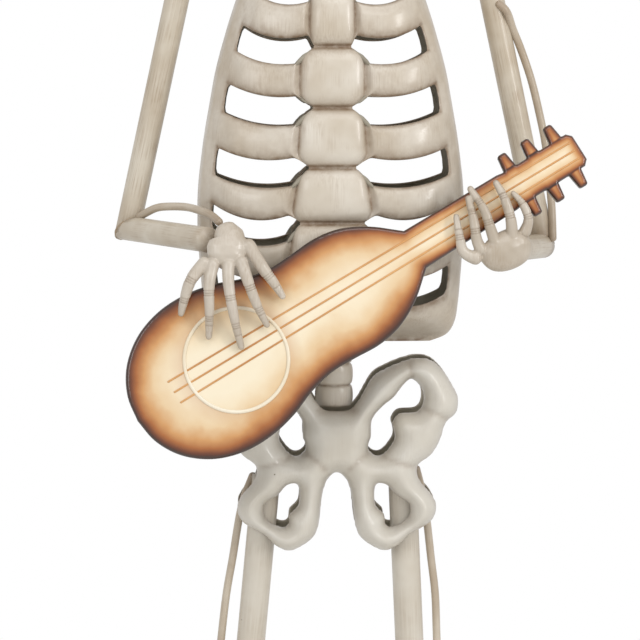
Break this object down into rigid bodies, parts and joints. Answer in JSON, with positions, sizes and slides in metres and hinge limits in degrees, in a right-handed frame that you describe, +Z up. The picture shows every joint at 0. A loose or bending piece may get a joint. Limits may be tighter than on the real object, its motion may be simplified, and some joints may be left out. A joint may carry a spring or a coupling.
{
  "type": "metal skeleton statue",
  "caption": "Standing metal skeleton statue that plays a guitar, made of pressed sheet bones, steel tube limbs and cast hands on a flat base plate.",
  "frame": {"origin": "middle of the base plate's underside", "axes": "+Z up, the figure faces -Y and its right arm is on -X"},
  "size_m": [0.4816, 0.32, 1.682],
  "materials": {
    "bone_paint": "satin bone white enamel with a brown wash",
    "sunburst_paint": "satin cream to orange brown sunburst enamel with a near black rim",
    "base_paint": "satin grey brown enamel"
  },
  "bodies": {
    "root": {"ribcage_front": "bone_paint", "ribcage_back": "bone_paint", "lumbar_spine": "bone_paint", "pelvis_front": "bone_paint", "pelvis_back": "bone_paint", "collar_bar": "bone_paint", "neck": "bone_paint", "skull": "bone_paint", "hand_right": "bone_paint", "hand_left": "bone_paint", "upper_arm_right": "bone_paint", "forearm_right": "bone_paint", "upper_arm_left": "bone_paint", "forearm_left": "bone_paint", "forearm_rod_right": "bone_paint", "upper_arm_rod_left": "bone_paint", "guitar": "sunburst_paint", "knee_right": "bone_paint", "thigh_right": "bone_paint", "shin_right": "bone_paint", "thigh_rod_right": "bone_paint", "foot_right": "bone_paint", "shin_rod_right": "bone_paint", "knee_left": "bone_paint", "thigh_left": "bone_paint", "shin_left": "bone_paint", "thigh_rod_left": "bone_paint", "foot_left": "bone_paint", "shin_rod_left": "bone_paint", "base_plate": "base_paint"}
  },
  "joints": []
}
